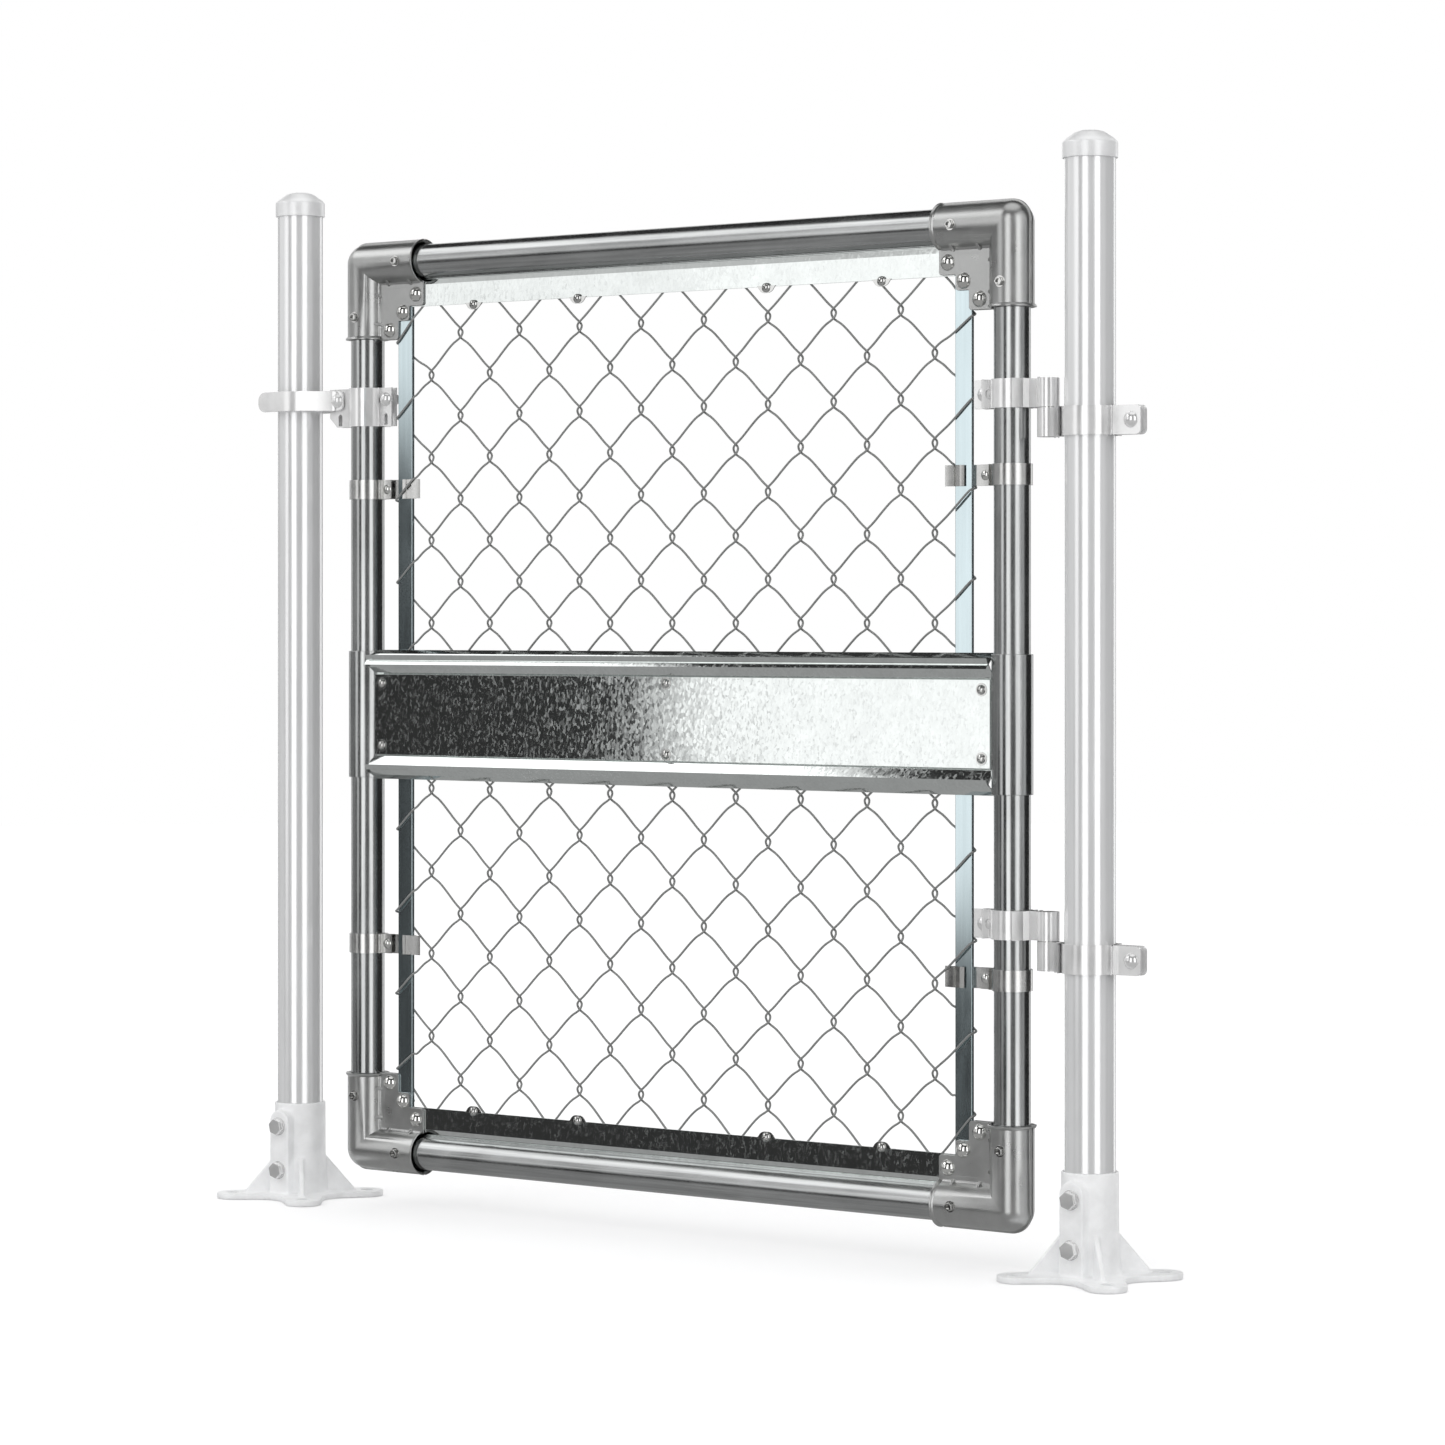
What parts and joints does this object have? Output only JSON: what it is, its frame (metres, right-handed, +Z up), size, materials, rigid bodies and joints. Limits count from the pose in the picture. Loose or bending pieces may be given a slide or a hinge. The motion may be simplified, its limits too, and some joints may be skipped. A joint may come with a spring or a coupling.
{
  "type": "chain link gate",
  "caption": "Single chain link walk gate: tubular frame with woven wire mesh and a ribbed cross rail, hung on a floor-flanged post by strap hinges and closed by a fork latch on a second post.",
  "frame": {"origin": "underside of the hinge post's cast base, on that post's axis", "axes": "+X from the latch post towards the hinge post, +Y towards the back of the gate, +Z up along the posts"},
  "size_m": [1.1218, 0.1366, 1.0621],
  "materials": {
    "galvanised_tube": "grey galvanised tube with strong streaked highlights",
    "pale_galvanised_post": "pale galvanised post tube and pressed caps",
    "cast_aluminium": "pale cast aluminium with a fine cast texture",
    "satin_zinc_shell": "satin zinc-grey pressed steel",
    "spangled_sheet": "galvanised sheet with spangle",
    "zinc_bar": "pale blue-grey zinc-coated flat bar",
    "zinc_band": "zinc-coated pressed band",
    "pale_zinc_strap": "pale zinc-coated hinge strap and latch",
    "bright_bolt": "bright zinc-plated bolt",
    "galvanised_wire": "mid-grey galvanised wire"
  },
  "bodies": {
    "posts": {"hinge_post": "pale_galvanised_post", "hinge_post_cap": "pale_galvanised_post", "hinge_post_base": "cast_aluminium", "hinge_base_bolt_lower": "bright_bolt", "hinge_base_bolt_upper": "bright_bolt", "latch_post": "pale_galvanised_post", "latch_post_cap": "pale_galvanised_post", "latch_post_base": "cast_aluminium", "latch_base_bolt_lower": "bright_bolt", "latch_base_bolt_upper": "bright_bolt", "post_strap_lower": "pale_zinc_strap", "post_strap_upper": "pale_zinc_strap", "hinge_pin_lower": "bright_bolt", "hinge_pin_upper": "bright_bolt"},
    "gate": {"hinge_stile": "galvanised_tube", "latch_stile": "galvanised_tube", "bottom_rail": "galvanised_tube", "top_rail": "galvanised_tube", "corner_latch_top_front": "satin_zinc_shell", "corner_latch_top_back": "satin_zinc_shell", "corner_hinge_top_front": "satin_zinc_shell", "corner_hinge_top_back": "satin_zinc_shell", "corner_hinge_bottom_front": "satin_zinc_shell", "corner_hinge_bottom_back": "satin_zinc_shell", "corner_latch_bottom_front": "satin_zinc_shell", "corner_latch_bottom_back": "satin_zinc_shell", "bottom_strip": "spangled_sheet", "top_strip": "spangled_sheet", "tension_bar_hinge": "zinc_bar", "tension_bar_latch": "zinc_bar", "tension_band_hinge_lower": "zinc_band", "tension_band_hinge_upper": "zinc_band", "tension_band_latch_lower": "zinc_band", "tension_band_latch_upper": "zinc_band", "chain_link_fabric": "galvanised_wire", "rail_sleeve_hinge": "satin_zinc_shell", "rail_sleeve_latch": "satin_zinc_shell", "cross_channel": "spangled_sheet", "cross_plate": "spangled_sheet", "gate_strap_lower": "pale_zinc_strap", "gate_strap_upper": "pale_zinc_strap", "latch_clamp": "pale_zinc_strap"},
    "latch_fork": {"latch_fork": "pale_zinc_strap"}
  },
  "joints": [
    {"name": "gate_swing", "type": "hinge", "parent": "posts", "child": "gate", "pos_m": [-0.0456, 0, 0.311], "axis": [0, 0, 1], "range_deg": [-95, 95]},
    {"name": "latch_lift", "type": "hinge", "parent": "gate", "child": "latch_fork", "pos_m": [-0.9258, 0, 0.84], "axis": [0, 1, 0], "range_deg": [0, 85]}
  ]
}
